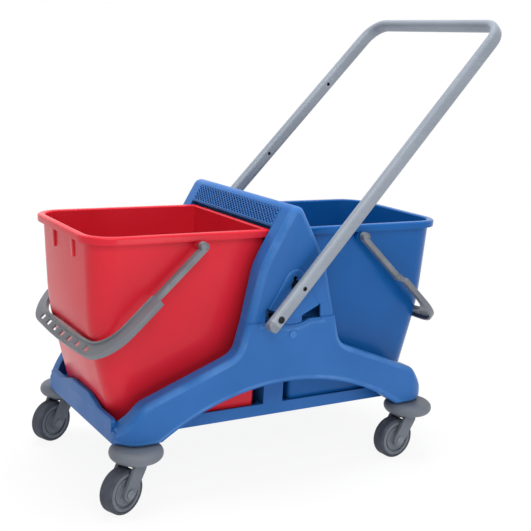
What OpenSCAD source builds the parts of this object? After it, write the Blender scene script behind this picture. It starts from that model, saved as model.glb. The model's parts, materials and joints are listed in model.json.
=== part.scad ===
// Double mop bucket trolley: a moulded base on four swivel castors, a tower with a drained roof,
// two lift-out buckets with bails, and a push handle that leans over either bucket.
// All sizes are in millimetres. X runs along the trolley, Y across it and Z up from the floor.

/* [Base] */
// Length of the base over its end rails
base_l = 622; // [600:1:660]
// Width of the base over its side beams
base_w = 372; // [356:1:400]
// Height of the base's underside above the floor
base_z = 105; // [102:1:125]
// Corner radius of the base in plan
base_corner_r = 42; // [34:1:50]
// Wall thickness of the base and the tower
wall = 3.5; // [2.5:0.25:4.5]
// Depth of a side beam from its outside to its inside
beam_t = 30; // [26:1:34]
// Height of the beam's top where it meets the tower, above the underside
beam_foot_h = 133; // [125:1:145]
// Height of the beam's shoulder above the underside
shoulder_h = 68; // [58:1:78]
// Distance of the shoulder from the base's end
shoulder_in = 39; // [30:1:55]
// Height of a corner pod's outer edge above the underside
pod_h = 20; // [12:1:30]
// Height of the side arch's crown above the underside
arch_h = 77; // [66:1:86]
// Radius of the side arch
arch_r = 420; // [380:5:460]
// Distance of the tray's side lip from the outside of the beam
tray_in = 53; // [48:1:60]
// Height of the tray's floor above the underside
tray_floor_h = 11.5; // [9:0.5:14]
// Height of the tray's side lip above the underside
tray_lip_h = 21; // [17:1:26]
// Thickness of the ribs below the tray
rib_t = 3; // [2:0.5:5]
// Rib cells along each half of the tray
rib_cells_x = 4; // [2:1:6]
// Rib cells across the tray
rib_cells_y = 4; // [2:1:6]
// Thickness of an end rail
rail_t = 8; // [6:0.5:12]
// Height of an end rail above the underside
rail_h = 39; // [32:1:46]
// Extra height of the hump in the middle of an end rail
rail_hump_h = 13; // [6:1:20]
// Width of the top of the hump
rail_hump_w = 78; // [50:1:110]
// Length of the ramp on each side of the hump
rail_ramp_l = 47; // [36:1:60]

/* [Tower] */
// Height of the seam between base and tower, above the underside
seam_h = 186; // [176:1:196]
// Width of the tower where it meets the beams
tower_foot_w = 205; // [180:1:230]
// Width of the tower at its knee
tower_knee_w = 126; // [112:1:134]
// Drop from the ridge to the knee
tower_knee_drop = 94; // [80:1:105]
// Width of the ridge before its edges are rounded
ridge_w = 19; // [14:1:26]
// Drop from the ridge to the lip of the roof
roof_drop = 37; // [34:1:44]
// Height of the roof's lip above the bucket rims
lip_gap = 7; // [5:1:14]
// Thickness of the bulkhead between the buckets
bulk_t = 38; // [34:1:42]
// Thickness of the roof
roof_t = 5; // [4:0.5:6]
// Step of the tower's cheek inside the base's side
cheek_step = 2; // [1:0.5:4]
// Gap between the buckets' rims and the inside of the tower's cheeks
cheek_gap = 3; // [2:0.5:6]
// Width of the raised handle pad at its foot
pad_w = 112; // [104:1:120]
// Height that the handle pad stands proud of the cheek
pad_proud = 2.5; // [1.5:0.5:4]
// Rise of the pad's sides before they lean in
pad_side_h = 16; // [12:1:20]
// Rise of the pad's pointed top above the handle pivot, before rounding
pad_top_rise = 47; // [42:1:55]
// Radius of the pad's rounded top
pad_top_r = 20; // [14:1:24]
// Radius of the spare hole above the handle pivot
spare_hole_r = 4.5; // [3:0.5:6]
// Rise of the spare hole above the handle pivot
spare_hole_rise = 11; // [10:0.5:14]
// Width of the tongue that ties the tower to the base
tongue_w = 40; // [30:1:46]
// Depth of the tongue below the seam
tongue_drop = 42; // [36:1:50]
// Depth of the tongue's screw below the seam
tie_screw_drop = 25; // [20:1:28]
// Radius of the tie screw's shank
tie_screw_r = 3; // [2:0.5:4]
// Radius of the tie screw's head
tie_head_r = 7; // [5:0.5:9]
// Height of the tie screw's head
tie_head_h = 1.4; // [1:0.1:1.8]

/* [Roof grates] */
// Distance of a grate's upper edge from the ridge's corner, down the slope
grate_start = 10; // [10:0.5:12]
// Height of a grate down the slope
grate_h = 28; // [27:0.5:28]
// Distance of a grate's end from the inside of the cheek
grate_end_gap = 8; // [5:1:20]
// Thickness of a grate
grate_t = 1.8; // [1.2:0.1:2.4]
// Depth of the grate's face below the roof
grate_sink = 0.7; // [0.3:0.1:1.2]
// Width of the ledge that carries a grate
grate_ledge = 2.5; // [1.5:0.5:4]
// Radius of a drain hole
drain_r = 1.7; // [1.2:0.1:1.9]
// Spacing of the drain holes along a row
drain_pitch = 8; // [6:0.5:14]
// Spacing of the rows
drain_row_pitch = 4.6; // [4.4:0.1:4.8]
// Rows of drain holes
drain_rows = 5; // [2:1:5]

/* [Buckets] */
// Height of a bucket from its foot to its rim
bucket_h = 324; // [304:1:350]
// Wall thickness of a bucket
bucket_wall = 3; // [2:0.25:4]
// Overhang of the rim past the end of the base
rim_over = 42; // [36:1:50]
// Gap between the rims and the insides of the beams
rim_side_gap = 11; // [6:1:16]
// Gap between a rim and the bulkhead
rim_bulk_gap = 3; // [2:0.5:6]
// Width of the rim's overhang
rim_lip = 10; // [8:0.5:13]
// Height of the rim's band
rim_h = 12; // [10:1:18]
// Thickness of the rim's skirt
rim_skirt_t = 3; // [2:0.5:4]
// Radius of the wall's outer corners in plan
bucket_corner_r = 42; // [34:1:50]
// Radius of the wall's corners next to the tower, in plan
bucket_inner_r = 8; // [6:1:30]
// Height of the belly, where the end wall starts to lean in, above the foot
belly_h = 166; // [140:1:190]
// Distance of the belly inside the end wall's top
belly_in = 9; // [5:1:14]
// Gap between the bucket's end and the end rail, at the rail's height
foot_gap = 4; // [2:0.5:8]
// Distance that the side walls lean in from rim to foot
side_draft = 9; // [5:1:12]
// Distance that the inner end wall leans in from rim to foot
inner_draft = 4; // [2:0.5:8]
// Radius of the bucket's bottom edge
foot_r = 10; // [6:1:14]
// Radius of a bail ear
ear_r = 10; // [8:0.5:13]
// Distance of the bail's pivot from the middle of the trolley
bail_pivot_x = 161; // [150:1:180]
// Distance of the bail's pivot below the rim
bail_pivot_drop = 19; // [16:1:24]

/* [Bails] */
// Angle of a resting bail below the horizontal
bail_rest = 43; // [40:0.5:46]
// Gap between a bail's arms and the rim
bail_side_gap = 4; // [2:0.25:6]
// Gap between the grip's middle and the bucket's end
bail_end_gap = 4.8; // [4.5:0.1:8]
// Width of an arm, across the bucket
bail_arm_w = 12; // [9:0.5:14]
// Height of the arms and the grip above the pivot, square to the bail's plane
bail_top = 1.5; // [0.5:0.5:3]
// Depth of the arms and the grip's outer edge below the pivot, square to the bail's plane
bail_low = 8; // [6:0.5:9]
// Length of an arm from its pivot to the step of the grip
bail_step = 115; // [95:1:130]
// Step of the grip's inside edge past an arm
grip_splay = 3; // [1:0.5:4]
// Width of the grip at its middle
grip_w = 24.5; // [20:0.5:28]
// Width of the grip beside the bucket
grip_side_w = 28; // [22:0.5:30]
// Wall thickness of the grip
grip_wall = 3.5; // [2.5:0.25:4]
// Width of the bead along the grip's inside edge
grip_bead_w = 4; // [3:0.5:6]
// Height of the bead above the grip
grip_bead_h = 1.5; // [0.5:0.25:2.5]
// Bow of the grip from its corners to its middle
grip_bow = 12; // [8:1:12]
// Radius of the grip's inside corners
grip_corner_r = 52; // [44:1:60]
// Radius of the grip's outside corners
grip_outer_r = 74; // [64:1:82]
// Holes through the grip
grip_holes = 7; // [3:2:7]
// Spacing of the holes through the grip
grip_hole_pitch = 35; // [28:1:36]
// Length of a hole through the grip
grip_hole_l = 15; // [10:1:20]
// Width of a hole through the grip
grip_hole_w = 9; // [6:0.5:10]
// Radius of a bail's pivot pin
bail_pin_r = 4; // [3:0.5:5]
// Length of a bail's pivot pin inside the rim
bail_pin_l = 8; // [6:0.5:9]
// Radius of the knob around a bail's pivot
bail_knob_r = 7.5; // [6.5:0.5:10]

/* [Push handle] */
// Width of the flat oval tube
tube_w = 26; // [24:1:30]
// Thickness of the flat oval tube
tube_t = 16; // [14:1:18]
// Wall thickness of the tube
tube_wall = 1.8; // [1.5:0.1:2.2]
// Height of the handle's pivot above the seam
pivot_h = 61; // [56:1:66]
// Lean of the handle from the vertical
handle_lean = 42.5; // [38:0.5:46]
// Lean of each leg towards the other
leg_toe = 1.6; // [0:0.1:2]
// Length from the pivot to the crossbar's middle line
handle_l = 607; // [540:1:660]
// Radius of the bends at the crossbar, to the tube's middle line
handle_bend_r = 40; // [34:1:60]
// Length of a leg below the pivot, to the middle of its round end
leg_tail = 78; // [74:1:86]
// Distance from the pivot to the lock pin
pin_drop = 66; // [62:1:70]
// Radius of the lock pin and of the pivot bolt
pin_r = 4; // [3:0.5:4.5]
// Radius of the lock pin's head
pin_head_r = 6; // [5:0.5:6.5]
// Height of the lock pin's head
pin_head_h = 1.2; // [0.8:0.1:2]
// Depth of the pivot bolt's end below the outside of the leg
bolt_sink = 2.5; // [2:0.25:4]
// Thickness of the spacer between leg and pad
spacer_t = 13; // [11:0.5:15]
// Radius of the spacer
spacer_r = 9; // [8:0.5:12]
// Radius of an accessory hole on the inside of a leg
accessory_r = 3.5; // [2.5:0.5:5]
// Distances of the accessory holes from the pivot
accessory_at = [243, 438]; // [150:1:480]
// Length of the plug of a leg's end cap
cap_plug_l = 18; // [10:1:22]
// Width across the corners of the pivot nut
nut_d = 15; // [12:0.5:17]
// Thickness of the pivot nut
nut_t = 6; // [4:0.5:8]

/* [Castors] */
// Diameter of a wheel
wheel_d = 75; // [70:1:78]
// Width of a tyre
wheel_w = 26; // [20:1:30]
// Thickness of a tyre from its tread to the wheel's core
tyre_t = 9; // [6:0.5:12]
// Radius of the tyre's shoulders, at most half of its thickness
tyre_shoulder_r = 4.4; // [2:0.2:6]
// Distance of a castor's pivot from the base's end
castor_in_x = 34; // [30:1:40]
// Distance of a castor's pivot from the base's side
castor_in_y = 16.5; // [15:0.5:22]
// Trail of a wheel behind its castor's pivot
castor_trail = 32; // [28:1:34]
// Diameter of a buffer disc
buffer_d = 89; // [80:1:98]
// Thickness of a buffer disc
buffer_h = 22; // [18:1:23]
// Radius of a castor's stem
stem_r = 5.5; // [4.5:0.5:6.5]
// Length of a stem inside the base
stem_in = 42; // [30:1:48]
// Radius of a fork's crown below the buffer
crown_r = 20; // [18:1:24]
// Radius of a fork's neck
neck_r = 17; // [15:0.5:17.5]
// Thickness of a fork's arm
fork_arm_t = 6; // [4:0.5:8]
// Radius of a fork's arm below the crown
fork_top_r = 13; // [11:0.5:14.5]
// Distance of the arm's upper end behind the castor's pivot
fork_top_back = 9; // [7:0.5:12]
// Radius of a fork's arm round the axle
fork_eye_r = 12; // [10:0.5:14]
// Radius of an axle
axle_r = 5; // [4:0.5:6]
// Radius of an axle's heads
axle_head_r = 7.5; // [6.5:0.5:9]
// Height of an axle's heads
axle_head_h = 2; // [1:0.5:3]

/* [Fits] */
// Clearance round a shaft that turns in a hole
run_gap = 0.05; // [0.02:0.01:0.1]
// Clearance round a shaft that is fixed in a hole
fix_gap = 0.02; // [0.01:0.01:0.05]
// Clearance between pieces that seat or pass each other
seat_gap = 0.3; // [0.2:0.05:0.5]
// Clearance between the wheel and its fork
fork_gap = 2; // [1.5:0.25:3]
// Clearance of the lock pin in its slot
slot_gap = 0.6; // [0.4:0.1:1]

/* [Hidden] */
$fn = 48;
arc_steps = 8;
bend_steps = 8;
tube_steps = 12;
ring_steps = 7;
past = 1;

blue_moulding = "#3f6eac";
blue_bucket_colour = "#2d61a5";
red_bucket_colour = "#d73741";
grey_tube = "#a0a5aa";
grey_moulding = "#80848a";
grey_tyre = "#4b4e55";
steel = "#b4b8bc";

end_x = base_l / 2;
side_y = base_w / 2;
cheek_y = side_y - cheek_step;
well_y = side_y - beam_t;
well_end_x = end_x - rail_t;
well_r = base_corner_r - 12;
tray_y = side_y - tray_in;
bulk_x = bulk_t / 2;
arch_z = base_z + arch_h;
floor_z = base_z + tray_floor_h;
lip_top_z = base_z + tray_lip_h;
rail_z = base_z + rail_h;
seam_z = base_z + seam_h;
leg_x = sqrt(arch_r * arch_r - (arch_r - arch_h) * (arch_r - arch_h));

bucket_z = floor_z;
rim_z = bucket_z + bucket_h;
lip_z = rim_z + lip_gap;
ridge_z = lip_z + roof_drop;
knee_z = ridge_z - tower_knee_drop;
foot_z = base_z + beam_foot_h;
knee_x = tower_knee_w / 2;
ridge_x = ridge_w / 2;
roof_a = atan((knee_x - ridge_x) / (ridge_z - knee_z));
ridge_r = 0.95 * ridge_x / tan((90 - roof_a) / 2);
shoulder_r = 35;
foot_fillet_r = 35;
knee_r = 160;

// Outline of base and tower seen from the side, with the radius of each corner
half_outline = [
    [end_x, base_z, 0],
    [end_x, base_z + pod_h, pod_h],
    [end_x - shoulder_in, base_z + shoulder_h, shoulder_r],
    [tower_foot_w / 2, foot_z, foot_fillet_r],
    [knee_x, knee_z, knee_r],
    [ridge_x, ridge_z, ridge_r],
];
outline = concat(half_outline, mirrored(half_outline));

pivot_z = seam_z + pivot_h;
pad_y = cheek_y + pad_proud;
leg_in_y = pad_y + spacer_t;
leg_y = leg_in_y + tube_t / 2;
leg_out_y = leg_in_y + tube_t;
slot_r = pin_r + slot_gap;
pad_x = pad_w / 2;
pin_tip_y = cheek_y - wall + seat_gap + 0.2;
tongue_y = cheek_y - wall - seat_gap;
slot_end_h = pin_drop * (1 - cos(handle_lean)) + 2 * slot_r;

castor_x = end_x - castor_in_x;
castor_y = side_y - castor_in_y;
buffer_top_z = base_z - seat_gap;
buffer_z = buffer_top_z - buffer_h;
axle_z = wheel_d / 2;
neck_z = axle_z + castor_trail;
wheel_gap_r = wheel_d / 2 + fork_gap;
fork_in_y = wheel_w / 2 + fork_gap;
fork_out_y = fork_in_y + fork_arm_t;
core_r = wheel_d / 2 - tyre_t;

rim_in_x = bulk_x + rim_bulk_gap;
rim_out_x = end_x + rim_over;
rim_y = well_y - rim_side_gap;
cheek_in_y = rim_y + cheek_gap;
wall_in_x = rim_in_x + rim_lip;
wall_out_x = rim_out_x - rim_lip;
wall_y = rim_y - rim_lip;
belly_z = bucket_z + belly_h;
belly_x = wall_out_x - belly_in;
belly_blend = 40;
foot_lean = (belly_x - (well_end_x - foot_gap)) / (belly_z - rail_z);
belly_lean = belly_in / (rim_z - belly_z);
bail_pivot_z = rim_z - bail_pivot_drop;
bail_in_y = rim_y + bail_side_gap;
grip_z = bail_pivot_z - (belly_x - bail_pivot_x) * tan(bail_rest);
grip_in = (bucket_end(grip_z) + bail_end_gap - bail_pivot_x) / cos(bail_rest);
grip_in_y = bail_in_y + grip_splay;
grip_out_y = grip_in_y + grip_side_w;

tube_flat = (tube_w - tube_t) / 2;
leg_run = (handle_l - handle_bend_r * (1 - sin(leg_toe))) / cos(leg_toe);
bend_y = leg_y - leg_run * sin(leg_toe) - handle_bend_r * cos(leg_toe);
pin_out_y = leg_out_y + pin_drop * sin(leg_toe);

// The origin lies on the floor below the middle of the whole trolley
handle_reach = handle_l * sin(handle_lean) + tube_flat * cos(handle_lean) + tube_t / 2;
frame_x = (rim_out_x - handle_reach) / 2;

// Each castor's name, end, side and resting swivel
castors = [
    ["red_near", -1, -1, 22],
    ["red_far", -1, 1, 22],
    ["blue_near", 1, -1, 4],
    ["blue_far", 1, 1, 12],
];
// Each side's name and direction across the trolley
sides = [["near", -1], ["far", 1]];
// Each bucket's name, end and colour
buckets = [["red", -1, red_bucket_colour], ["blue", 1, blue_bucket_colour]];

castor_pieces = ["castor_stem", "buffer", "fork", "axle", "wheel_core", "tyre"];
side_pieces = ["pivot_bolt", "pivot_nut", "pivot_spacer", "lock_pin", "leg_cap"];
bucket_pieces = ["bucket", "bail", "roof_grate"];

function mirrored(path) = [for (i = [len(path) - 1:-1:0]) [-path[i][0], path[i][1], path[i][2]]];
function unit(v) = v / norm(v);
function left_of(v) = [-v[1], v[0]];
function flat(p) = [p[0], p[1]];
function before(path, i) = flat(path[(i + len(path) - 1) % len(path)]);
function after(path, i) = flat(path[(i + 1) % len(path)]);
function mix(a, b, t) = a + (b - a) * t;

// A path moved inwards by d, with its corner radii kept concentric
function inset(path, d) = [
    for (i = [0:len(path) - 1])
        let (
            p = flat(path[i]),
            u = unit(p - before(path, i)),
            v = unit(after(path, i) - p),
            moved = p + d * (left_of(u) + left_of(v)) / (1 + u * v),
            bend = cross(u, v) < 0 ? -1 : 1
        )
        [moved[0], moved[1], path[i][2] == 0 ? 0 : max(0.5, path[i][2] - bend * d)]
];

// The arc that rounds the corner p between the directions u and v
function corner_arc(p, u, v, r) =
    let (
        bend = cross(u, v) < 0 ? -1 : 1,
        n = bend * left_of(u),
        m = bend * left_of(v),
        centre = p + r * (n + m) / (1 + n * m),
        start = atan2(-n[1], -n[0]),
        turn = bend * acos(min(1, u * v))
    )
    [
        for (k = [0:arc_steps])
            let (a = start + turn * k / arc_steps)
            centre + r * [cos(a), sin(a)]
    ];

// The points of a path whose corners are rounded by their own radii
function rounded(path) = [
    for (i = [0:len(path) - 1])
        let (
            p = flat(path[i]),
            u = unit(p - before(path, i)),
            v = unit(after(path, i) - p)
        )
        each path[i][2] == 0 ? [p] : corner_arc(p, u, v, path[i][2])
];

module in_frame() {
    translate([frame_x, 0, 0])
        children();
}

module both_sides() {
    children();
    mirror([0, 1, 0])
        children();
}

module both_ends() {
    children();
    mirror([1, 0, 0])
        children();
}

module to_side(s) {
    mirror([0, s < 0 ? 1 : 0, 0])
        children();
}

module to_end(s) {
    mirror([s < 0 ? 1 : 0, 0, 0])
        children();
}

// Extrudes an outline of X and Z across the trolley
module along_y(y0, y1) {
    translate([0, y1, 0])
        rotate([90, 0, 0])
            linear_extrude(y1 - y0)
                children();
}

// Extrudes an outline of Y and Z along the trolley
module along_x(x0, x1) {
    translate([x0, 0, 0])
        rotate([90, 0, 90])
            linear_extrude(x1 - x0)
                children();
}

module bar_y(x, z, r, y0, y1) {
    translate([x, y1, z])
        rotate([90, 0, 0])
            cylinder(r = r, h = y1 - y0);
}

module block(low, high) {
    translate(low)
        cube(high - low);
}

module round_plan(low, high, r) {
    translate([low[0] + r, low[1]])
        square([high[0] - low[0] - 2 * r, high[1] - low[1]]);
    translate([low[0], low[1] + r])
        square([high[0] - low[0], high[1] - low[1] - 2 * r]);
    for (x = [low[0] + r, high[0] - r], y = [low[1] + r, high[1] - r])
        translate([x, y])
            circle(r);
}

// Two circles joined by their outer tangents
module tapered_link(p, pr, q, qr) {
    a = atan2(q[1] - p[1], q[0] - p[0]);
    b = acos((pr - qr) / norm(q - p));
    translate(p)
        circle(pr);
    translate(q)
        circle(qr);
    polygon([
        p + pr * [cos(a + b), sin(a + b)],
        p + pr * [cos(a - b), sin(a - b)],
        q + qr * [cos(a - b), sin(a - b)],
        q + qr * [cos(a + b), sin(a + b)],
    ]);
}

// A closed skin through rings of points, each ring listed counter-clockwise from above
module loft(rings) {
    n = len(rings[0]);
    last = len(rings) - 1;
    polyhedron(
        points = [for (r = rings) each r],
        faces = concat(
            [[for (k = [0:n - 1]) k]],
            [
                for (i = [0:last - 1], k = [0:n - 1])
                    each [
                        [i * n + k, (i + 1) * n + k, (i + 1) * n + (k + 1) % n],
                        [i * n + k, (i + 1) * n + (k + 1) % n, i * n + (k + 1) % n],
                    ]
            ],
            [[for (k = [n - 1:-1:0]) last * n + k]]
        )
    );
}

module side_outline(d) {
    polygon(rounded(inset(outline, d)));
}

// Base

module base_envelope() {
    intersection() {
        translate([0, 0, base_z])
            linear_extrude(seam_h)
                round_plan([-end_x, -side_y], [end_x, side_y], base_corner_r);
        along_y(-side_y, side_y)
            side_outline(0);
    }
}

module bucket_wells() {
    both_ends() {
        translate([0, 0, lip_top_z])
            linear_extrude(seam_h)
                round_plan([bulk_x, -well_y], [well_end_x, well_y], well_r);
        translate([0, 0, floor_z])
            linear_extrude(seam_h)
                round_plan([bulk_x, -tray_y + wall], [well_end_x, tray_y - wall], well_r);
    }
}

module side_hollows() {
    both_sides() {
        along_y(well_y + wall, side_y - wall)
            intersection() {
                side_outline(wall);
                translate([-leg_x, base_z])
                    square([2 * leg_x, seam_h + past]);
            }
        bar_y(0, arch_z - arch_r, arch_r, tray_y, side_y + past);
    }
}

module bulkhead_hollow() {
    block([-bulk_x + wall, -tray_y + wall, base_z - past], [bulk_x - wall, tray_y - wall, seam_z + past]);
    block(
        [-bulk_x + wall, -well_y - 2 * wall, arch_z + wall],
        [bulk_x - wall, well_y + 2 * wall, seam_z + past]
    );
}

// The cells between the ribs below the tray
module rib_cells() {
    l = (well_end_x - bulk_x - rib_t) / rib_cells_x;
    w = (2 * (tray_y - wall) + rib_t) / rib_cells_y;
    for (i = [0:rib_cells_x - 1], j = [0:rib_cells_y - 1])
        translate([bulk_x + rib_t + i * l, -tray_y + wall + j * w, base_z - past])
            cube([l - rib_t, w - rib_t, tray_floor_h - wall + past]);
}

module end_rail() {
    w = side_y - base_corner_r;
    top = rail_hump_w / 2;
    foot = top + rail_ramp_l;
    half = [
        [w, base_z, 0],
        [w, rail_z, 6],
        [foot, rail_z, 40],
        [top, rail_z + rail_hump_h, 40],
    ];
    along_x(well_end_x, end_x)
        polygon(rounded(concat(half, mirrored(half))));
}

// The slot that the lock pin sweeps, a narrow arc that opens into a pocket at each end
module lock_slot() {
    sweep = 2 * handle_lean;
    for (lean = [-handle_lean, handle_lean])
        bar_y(pin_drop * sin(lean), pivot_z - pin_drop * cos(lean), slot_r, tongue_y + 0.1, pad_y + past);
    translate([0, pad_y + past, pivot_z])
        rotate([90, 0, 0])
            rotate([0, 0, -90 - handle_lean])
                rotate_extrude(angle = sweep)
                    translate([pin_drop - slot_r, 0])
                        square([2 * slot_r, pad_y + past - tongue_y - 0.1]);
    both_ends()
        along_y(tongue_y + 0.1, pad_y + past)
            polygon([
                [-past, seam_z - past],
                [pad_x, seam_z - past],
                [pad_x - 2, seam_z + slot_end_h - 2],
                [pad_x - 8, seam_z + slot_end_h - 4],
                [pin_r, seam_z + 2],
                [-past, seam_z + 2],
            ]);
}

module tie_screw_hole(r) {
    both_sides()
        bar_y(0, seam_z - tie_screw_drop, r, tongue_y - 3 * wall, side_y + past);
}

module chassis_base() {
    color(blue_moulding)
        in_frame()
            difference() {
                union() {
                    difference() {
                        base_envelope();
                        bucket_wells();
                        side_hollows();
                        bulkhead_hollow();
                        both_ends()
                            rib_cells();
                    }
                    both_ends()
                        end_rail();
                }
                for (x = [-castor_x, castor_x], y = [-castor_y, castor_y])
                    translate([x, y, base_z - past])
                        cylinder(r = stem_r + fix_gap, h = stem_in + seat_gap + past);
                tie_screw_hole(tie_screw_r + fix_gap);
                both_sides()
                    lock_slot();
            }
}

// Tower

module above(z) {
    intersection() {
        children();
        block([-end_x, -end_x, z], [end_x, end_x, ridge_z + past]);
    }
}

module tower_mass() {
    above(seam_z)
        both_sides()
            along_y(cheek_in_y, cheek_y)
                side_outline(0);
    above(lip_z)
        along_y(-well_y - past, well_y + past)
            side_outline(0);
    block([-bulk_x, -well_y - past, seam_z], [bulk_x, well_y + past, lip_z + past]);
}

module tower_hollow() {
    above(seam_z - past)
        both_sides()
            along_y(cheek_in_y + wall, cheek_y - wall)
                side_outline(wall);
    above(lip_z + wall)
        along_y(-well_y - 2 * wall, well_y + 2 * wall)
            side_outline(roof_t);
    block(
        [-bulk_x + wall, -well_y - 2 * wall, seam_z - past],
        [bulk_x - wall, well_y + 2 * wall, lip_z + wall + past]
    );
}

module handle_pad() {
    half = [
        [pad_x, seam_z, 0],
        [pad_x - 2, seam_z + pad_side_h, 10],
    ];
    top = [[0, pivot_z + pad_top_rise, pad_top_r]];
    along_y(cheek_y - past, pad_y)
        polygon(rounded(concat(half, top, mirrored(half))));
}

// The tongue hangs inside the base and joins the cheek above the lock slot
module tie_tongue() {
    top = seam_z + slot_end_h + 3;
    block([-tongue_w / 2, tongue_y - wall, seam_z - tongue_drop], [tongue_w / 2, tongue_y, top + 15]);
    block([-tongue_w / 2, tongue_y - wall, top], [tongue_w / 2, cheek_y - wall + 0.5, top + 15]);
}

// Places a child on a slope of the roof: X down the slope, Y across the trolley, Z out of the roof
module on_roof() {
    translate([ridge_x, 0, ridge_z])
        rotate([0, 90 - roof_a, 0])
            children();
}

grate_y = well_y - grate_end_gap;

module grate_seat() {
    on_roof() {
        block(
            [grate_start, -grate_y, -grate_sink - grate_t],
            [grate_start + grate_h, grate_y, roof_t]
        );
        block(
            [grate_start + grate_ledge, -grate_y + grate_ledge, -roof_t - past],
            [grate_start + grate_h - grate_ledge, grate_y - grate_ledge, 0]
        );
    }
}

module tower() {
    color(blue_moulding)
        in_frame()
            difference() {
                union() {
                    difference() {
                        union() {
                            tower_mass();
                            both_sides()
                                handle_pad();
                        }
                        tower_hollow();
                    }
                    both_sides()
                        tie_tongue();
                }
                both_ends()
                    grate_seat();
                both_sides() {
                    lock_slot();
                    bar_y(0, pivot_z, pin_r + fix_gap, tongue_y - wall, pad_y + past);
                    bar_y(0, pivot_z + spare_hole_rise, spare_hole_r, tongue_y - wall, pad_y + past);
                }
                tie_screw_hole(tie_screw_r + fix_gap);
            }
}

module tie_screws() {
    shank_in = tongue_y - 2 * wall;
    color(blue_moulding)
        in_frame()
            both_sides() {
                bar_y(0, seam_z - tie_screw_drop, tie_screw_r, shank_in, side_y + tie_head_h / 2);
                bar_y(0, seam_z - tie_screw_drop, tie_head_r, side_y, side_y + tie_head_h);
            }
}

module roof_grate(s) {
    top_row = grate_start + (grate_h - drain_row_pitch * (drain_rows - 1)) / 2;
    columns = floor((2 * grate_y - 2 * grate_ledge) / drain_pitch) - 1;
    color(blue_moulding)
        in_frame()
            to_end(s)
                on_roof()
                    difference() {
                        block(
                            [grate_start + seat_gap / 2, -grate_y + seat_gap, -grate_sink - grate_t],
                            [grate_start + grate_h - seat_gap / 2, grate_y - seat_gap, -grate_sink]
                        );
                        for (row = [0:drain_rows - 1], i = [0:columns - 1])
                            translate([
                                top_row + row * drain_row_pitch,
                                (i - (columns - 1) / 2 + (row % 2) / 2 - 0.25) * drain_pitch,
                                -roof_t,
                            ])
                                cylinder(r = drain_r, h = 2 * roof_t);
                    }
}

// Push handle

module at_pivot() {
    translate([0, 0, pivot_z])
        rotate([0, handle_lean, 0])
            children();
}

// Places a child on a leg: Y outwards and Z up the leg, from its middle line at the pivot
module on_leg() {
    translate([0, leg_y, 0])
        rotate([leg_toe, 0, 0])
            children();
}

// The tube's flat oval section, made smaller by d all round
module tube_section(d) {
    for (x = [-tube_flat, tube_flat])
        translate([x, 0])
            circle(tube_t / 2 - d);
    square([2 * tube_flat, tube_t - 2 * d], center = true);
}

// Points of that section in the same way
function tube_points(d) = [
    for (e = [0, 1], k = [0:tube_steps])
        let (a = 180 * (e + k / tube_steps) - 90)
        [(1 - 2 * e) * tube_flat + (tube_t / 2 - d) * cos(a), (tube_t / 2 - d) * sin(a)]
];

// The section's ring round a point of the handle's run, whose outside faces the angle a
function tube_ring(p, a, d) = [for (q = tube_points(d)) [q[0], p[0] + q[1] * cos(a), p[1] + q[1] * sin(a)]];

function half_run(d, extra) = concat(
    [tube_ring((leg_tail + extra) * [sin(leg_toe), -cos(leg_toe)] + [leg_y, 0], leg_toe, d)],
    [
        for (k = [0:bend_steps])
            let (a = mix(leg_toe, 90, k / bend_steps))
            tube_ring([bend_y, handle_l - handle_bend_r] + handle_bend_r * [cos(a), sin(a)], a, d)
    ]
);

// The run of the tube as a solid bar, made smaller by d, with its ends lengthened by extra
module handle_run(d, extra) {
    half = half_run(d, extra);
    loft(concat(half, [for (i = [len(half) - 1:-1:0]) [for (p = half[i]) [p[0], -p[1], p[2]]]]));
}

module push_handle() {
    color(grey_tube)
        in_frame()
            at_pivot()
                difference() {
                    handle_run(0, 0);
                    handle_run(tube_wall, past);
                    both_sides() {
                        bar_y(0, 0, pin_r + run_gap, leg_in_y - past, leg_out_y + past);
                        bar_y(0, -pin_drop, pin_r + fix_gap, leg_in_y - past, pin_out_y + past);
                        on_leg()
                            for (z = accessory_at)
                                bar_y(0, z, accessory_r, -tube_t / 2 - past, 0);
                    }
                }
}

// A plug inside the tube that stops short of the lock pin, and a round end below it
module leg_cap(s) {
    plug_l = min(cap_plug_l, leg_tail - pin_drop - pin_r - past);
    color(grey_tube)
        in_frame()
            at_pivot()
                to_side(s)
                    on_leg()
                        translate([0, 0, -leg_tail]) {
                            intersection() {
                                translate([0, 0, -tube_w])
                                    linear_extrude(tube_w)
                                        tube_section(0);
                                bar_y(0, 0, tube_w / 2, -tube_t, tube_t);
                            }
                            translate([0, 0, -past])
                                linear_extrude(past + plug_l)
                                    tube_section(tube_wall + seat_gap);
                        }
}

module lock_pin(s) {
    color(steel)
        in_frame()
            at_pivot()
                to_side(s) {
                    bar_y(0, -pin_drop, pin_r, pin_tip_y, pin_out_y + pin_head_h);
                    translate([0, seat_gap, 0])
                        bar_y(0, -pin_drop, pin_head_r, pin_out_y, pin_out_y + pin_head_h);
                }
}

module pivot_bolt(s) {
    color(steel)
        in_frame()
            to_side(s)
                bar_y(0, pivot_z, pin_r, cheek_y - wall - nut_t - 2, leg_out_y - bolt_sink);
}

module pivot_nut(s) {
    color(steel)
        in_frame()
            to_side(s)
                difference() {
                    translate([0, cheek_y - wall, pivot_z])
                        rotate([90, 0, 0])
                            cylinder(d = nut_d, h = nut_t, $fn = 6);
                    bar_y(0, pivot_z, pin_r + fix_gap, cheek_y - wall - nut_t - past, cheek_y);
                }
}

module pivot_spacer(s) {
    leg_gap = seat_gap + spacer_r * tan(leg_toe);
    color(grey_moulding)
        in_frame()
            to_side(s)
                difference() {
                    bar_y(0, pivot_z, spacer_r, pad_y, pad_y + spacer_t - leg_gap);
                    bar_y(0, pivot_z, pin_r + fix_gap, pad_y - past, pad_y + spacer_t + past);
                }
}

// Buckets

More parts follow.
